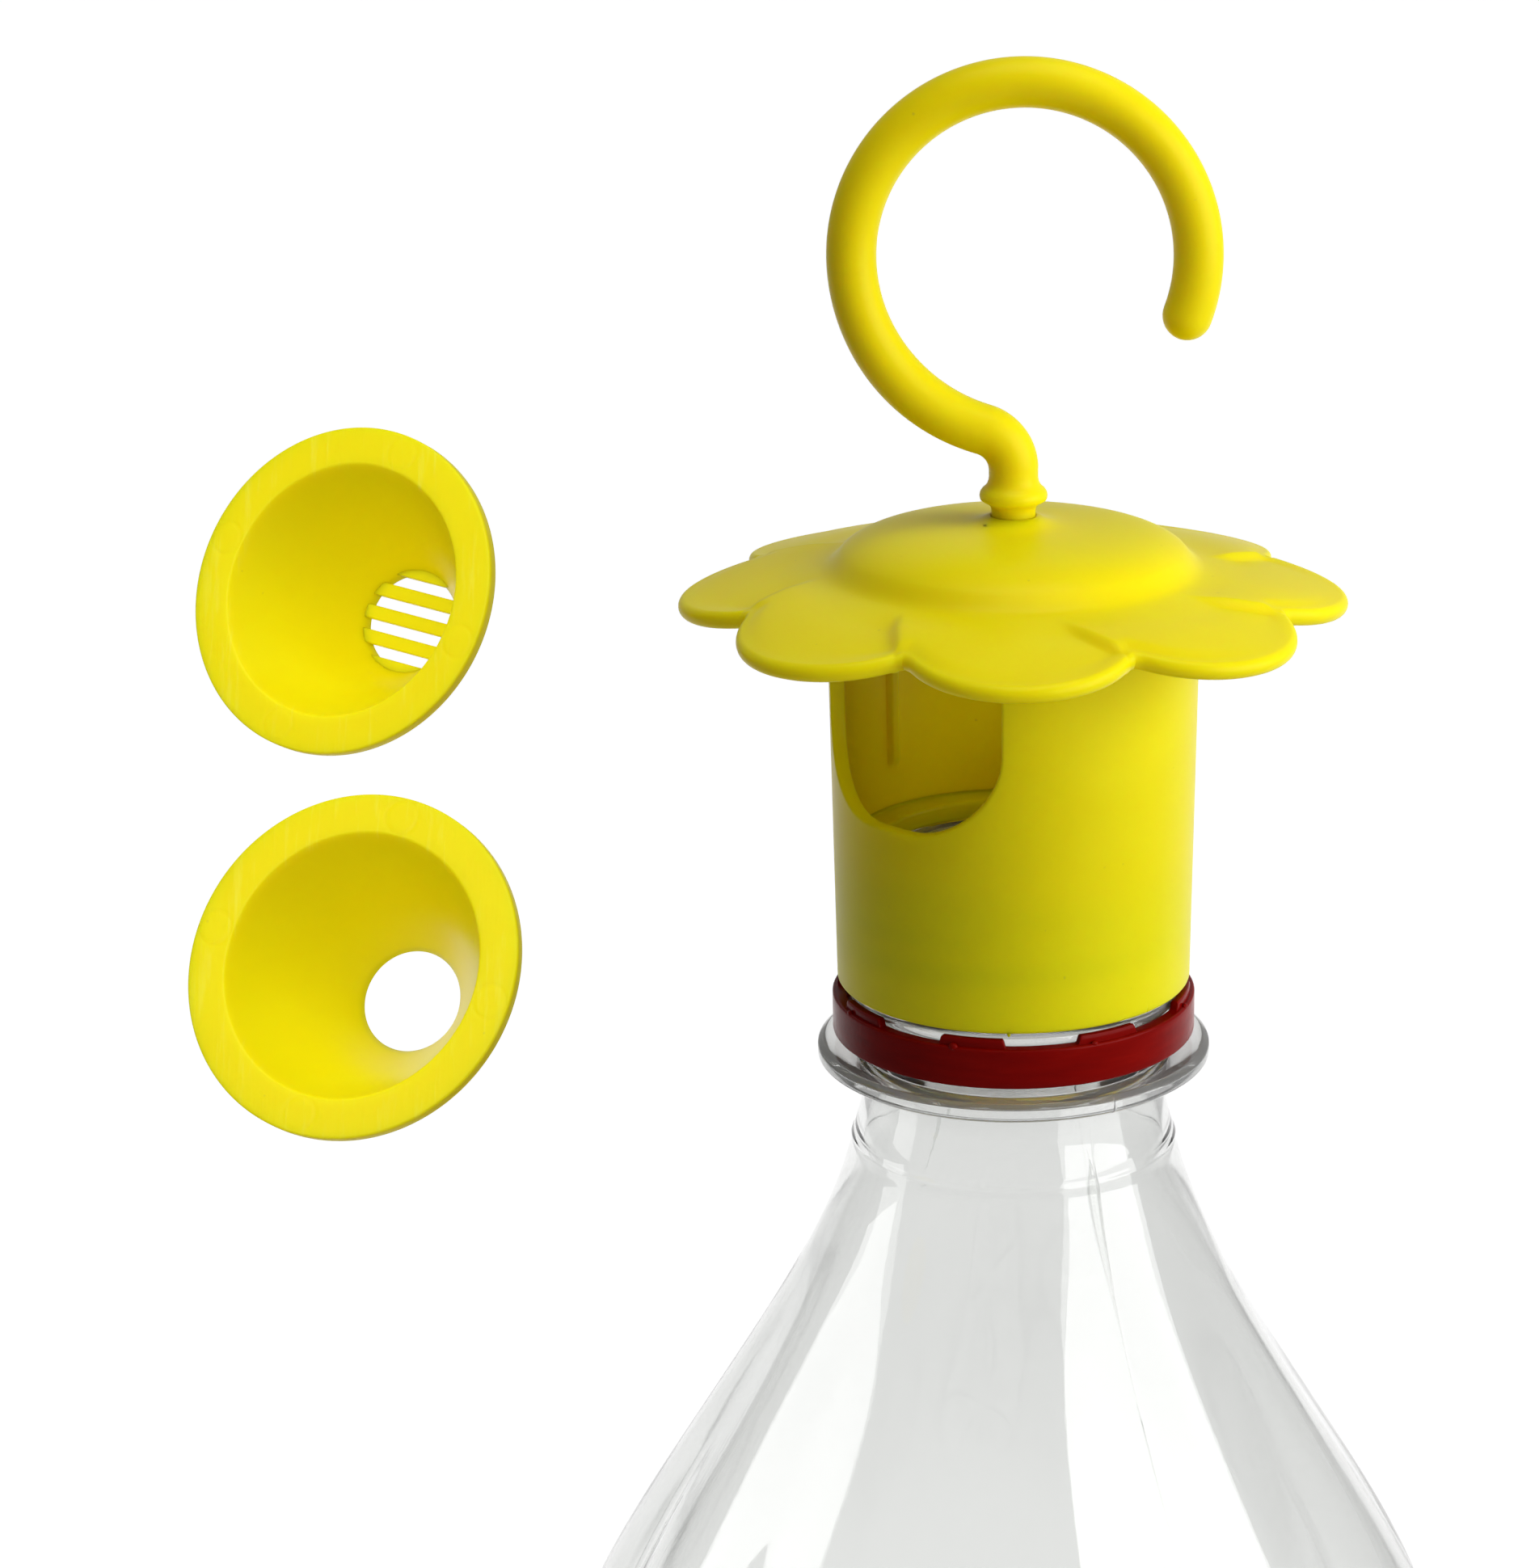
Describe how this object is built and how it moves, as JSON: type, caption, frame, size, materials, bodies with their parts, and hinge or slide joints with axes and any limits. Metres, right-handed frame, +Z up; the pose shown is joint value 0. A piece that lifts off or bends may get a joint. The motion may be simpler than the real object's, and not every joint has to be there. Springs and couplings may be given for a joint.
{
  "type": "wasp trap",
  "caption": "Bottle-top wasp trap: a flower-lidded entry tower with side windows, a hanging hook, funnel inserts and a clear bottle that holds the catch.",
  "frame": {"origin": "centre of the face that the bottle stands on, on the bottle's axis", "axes": "+Z up along the bottle's axis, -Y towards the front, +X to the front viewer's right"},
  "size_m": [0.1093, 0.084, 0.3616],
  "materials": {
    "yellow_plastic": "satin moulded polypropylene",
    "red_plastic": "glossy moulded cap plastic",
    "clear_pet": "clear blown drink-bottle plastic"
  },
  "bodies": {
    "bottle": {"bottle": "clear_pet"},
    "tamper_ring": {"tamper_ring": "red_plastic"},
    "tower": {"tower": "yellow_plastic"},
    "flower_lid": {"flower_lid": "yellow_plastic"},
    "hook": {"hook": "yellow_plastic"},
    "open_funnel": {"open_funnel": "yellow_plastic"},
    "grille_funnel": {"grille_funnel": "yellow_plastic"}
  },
  "joints": [
    {"name": "head_unscrew", "type": "hinge", "parent": "bottle", "child": "tamper_ring", "pos_m": [0, 0, 0.2798], "axis": [0, 0, 1], "range_deg": [0, 540]},
    {"name": "head_rise", "type": "slide", "parent": "tamper_ring", "child": "tower", "axis": [0, 0, 1], "range_m": [0, 0.0041]},
    {"name": "lid_lift", "type": "slide", "parent": "tower", "child": "flower_lid", "axis": [0, 0, 1], "range_m": [0, 0.04]},
    {"name": "hook_swivel", "type": "hinge", "parent": "flower_lid", "child": "hook", "pos_m": [0, 0, 0.3228], "axis": [0, 0, 1], "continuous": true},
    {"name": "open_funnel_lower", "type": "slide", "parent": "bottle", "child": "open_funnel", "axis": [-0.0599, 0, -0.9982], "range_m": [0, 0.284]},
    {"name": "grille_funnel_lower", "type": "slide", "parent": "bottle", "child": "grille_funnel", "axis": [-0.0599, 0, -0.9982], "range_m": [0, 0.306]}
  ],
  "couplings": [
    {"joint": "head_rise", "follows": "head_unscrew", "m_per_rad": 0.00042972}
  ]
}
